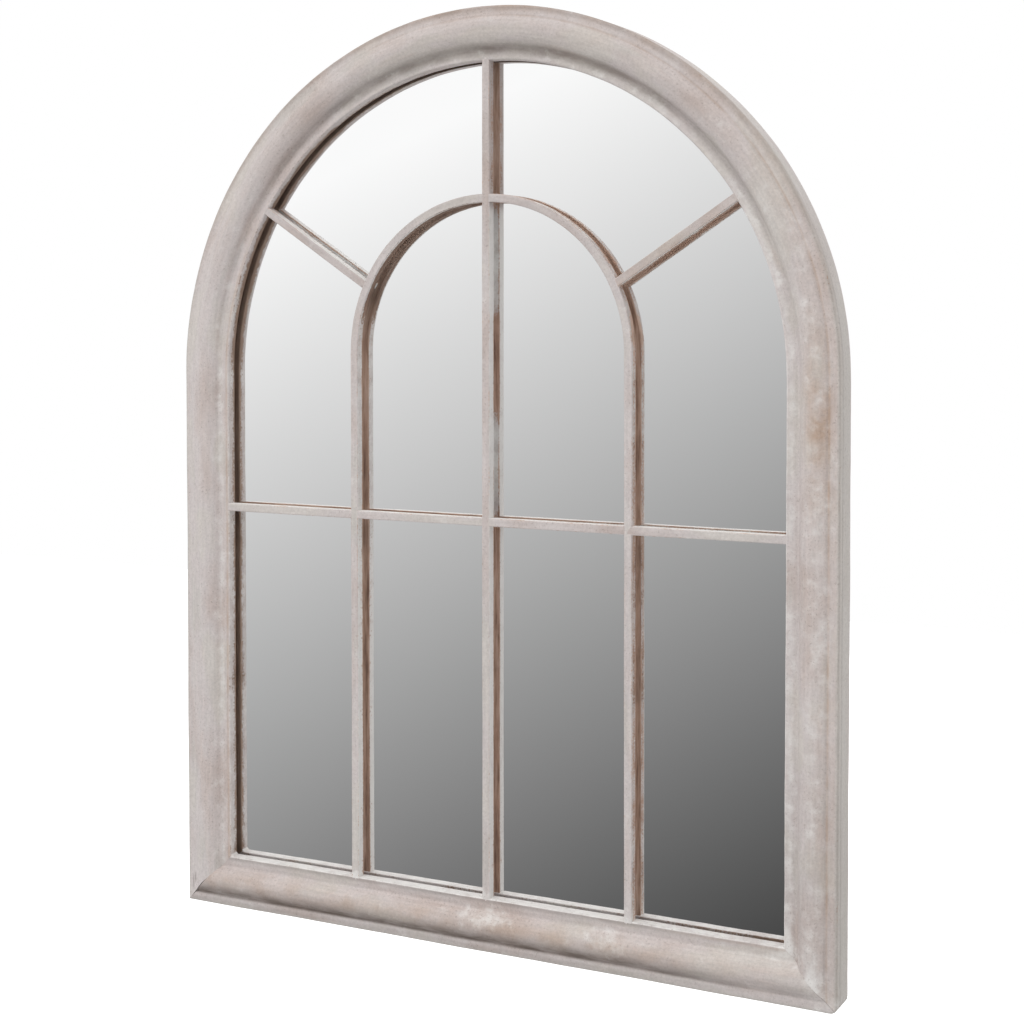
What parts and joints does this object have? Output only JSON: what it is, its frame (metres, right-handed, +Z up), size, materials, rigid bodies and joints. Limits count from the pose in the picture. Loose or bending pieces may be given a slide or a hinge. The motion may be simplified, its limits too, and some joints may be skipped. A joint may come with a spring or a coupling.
{
  "type": "arched wall mirror",
  "caption": "Arched garden mirror in a moulded, whitewashed wooden frame with a window lattice of thin bars and swinging rings for wall hooks.",
  "frame": {"origin": "centre of the arch on the frame's back plane, midway between the wall hooks", "axes": "+X to the right seen from the front, +Y towards the wall, +Z up"},
  "size_m": [0.69, 0.042, 0.89],
  "materials": {
    "painted_wood": "whitewashed and rubbed",
    "bar_wood": "whitewashed front, bare brown back",
    "bare_wood": "bare",
    "silvered_glass": "polished",
    "hardboard": "bare pressed board",
    "steel": "bright",
    "zinc_steel": "zinc plated",
    "rubber": "matt"
  },
  "bodies": {
    "frame": {"left_stile": "painted_wood", "right_stile": "painted_wood", "bottom_rail": "painted_wood", "left_haunch": "painted_wood", "right_haunch": "painted_wood", "crown": "painted_wood", "arch_dowels": "bare_wood", "corner_v_nails": "steel", "centre_bar": "bar_wood", "transom_bar": "bar_wood", "left_side_bar": "bar_wood", "right_side_bar": "bar_wood", "inner_arch_bar": "bar_wood", "left_radial_bar": "bar_wood", "right_radial_bar": "bar_wood", "bar_pins": "steel", "mirror_glass": "silvered_glass", "backing_board": "hardboard", "retaining_points": "steel", "left_hanger_strap": "zinc_steel", "right_hanger_strap": "zinc_steel", "hanger_screws": "zinc_steel", "wall_bumpers": "rubber"},
    "left_ring": {"left_hanger_ring": "zinc_steel"},
    "right_ring": {"right_hanger_ring": "zinc_steel"}
  },
  "joints": [
    {"name": "left_ring_swing", "type": "hinge", "parent": "frame", "child": "left_ring", "pos_m": [-0.326, 0.003, -0.0145], "axis": [1, 0, 0], "range_deg": [0, 180]},
    {"name": "right_ring_swing", "type": "hinge", "parent": "frame", "child": "right_ring", "pos_m": [0.326, 0.003, -0.0145], "axis": [1, 0, 0], "range_deg": [0, 180]}
  ]
}
